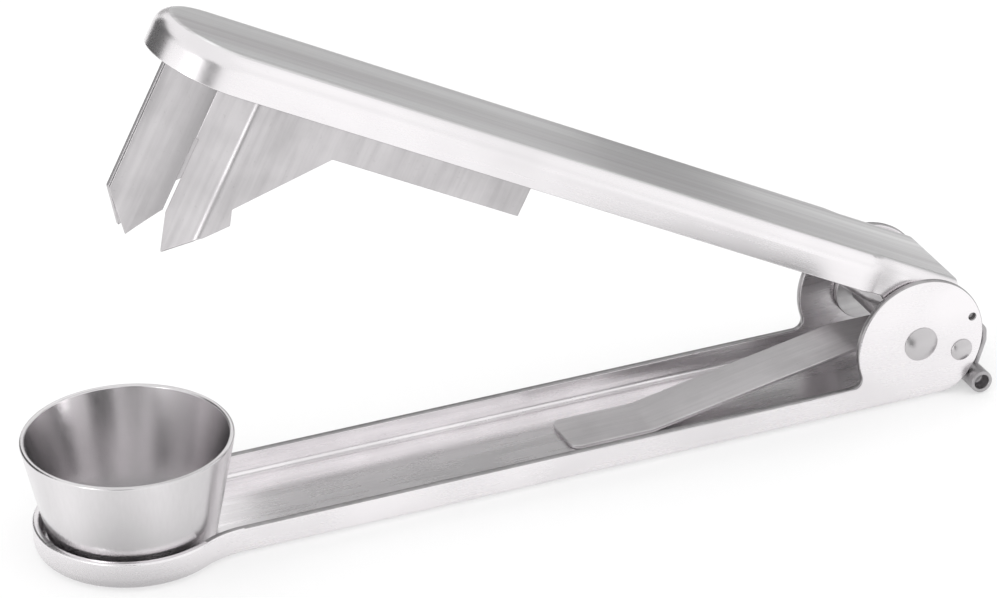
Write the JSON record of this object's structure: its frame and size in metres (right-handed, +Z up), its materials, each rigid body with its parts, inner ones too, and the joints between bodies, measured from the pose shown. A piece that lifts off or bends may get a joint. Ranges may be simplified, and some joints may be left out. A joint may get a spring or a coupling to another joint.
{
  "type": "lever cherry pitter",
  "caption": "Hand lever with a conical cup in the lower arm, a toothed sheet punch under the sprung upper arm and a small hanging bail behind the pivot.",
  "frame": {"origin": "on the flat base, midway between the axis of the cup and the pivot", "axes": "+X along the lower arm from the cup to the pivot, +Y across it to the far side, +Z up"},
  "size_m": [0.1704, 0.0356, 0.0939],
  "materials": {
    "polished_plate": "polished",
    "brushed_plate": "brushed lengthwise on top, polished at the sides",
    "blade_steel": "satin",
    "spring_steel": "satin",
    "rivet_steel": "polished",
    "dark_steel": "dark, satin"
  },
  "bodies": {
    "lower": {"lower_arm": "polished_plate", "cup": "polished_plate", "pivot_rivet": "rivet_steel", "pivot_bush": "dark_steel", "stop_rivet": "rivet_steel", "return_spring": "spring_steel"},
    "upper": {"upper_arm": "brushed_plate", "punch_near_blade": "blade_steel", "punch_far_blade": "blade_steel"},
    "bail": {"bail_leg_near": "dark_steel", "bail_leg_far": "dark_steel", "bail_bar": "dark_steel"}
  },
  "joints": [
    {"name": "squeeze", "type": "hinge", "parent": "lower", "child": "upper", "pos_m": [0.0695, 0, 0.0112], "axis": [0, 1, 0], "range_deg": [-21, 0], "stiffness_Nm_per_rad": 1.5, "springref_deg": 22.92, "deforming": ["return_spring"]},
    {"name": "bail_swing", "type": "hinge", "parent": "lower", "child": "bail", "pos_m": [0.0793, 0, 0.0143], "axis": [0, -1, 0], "range_deg": [0, 150]}
  ]
}
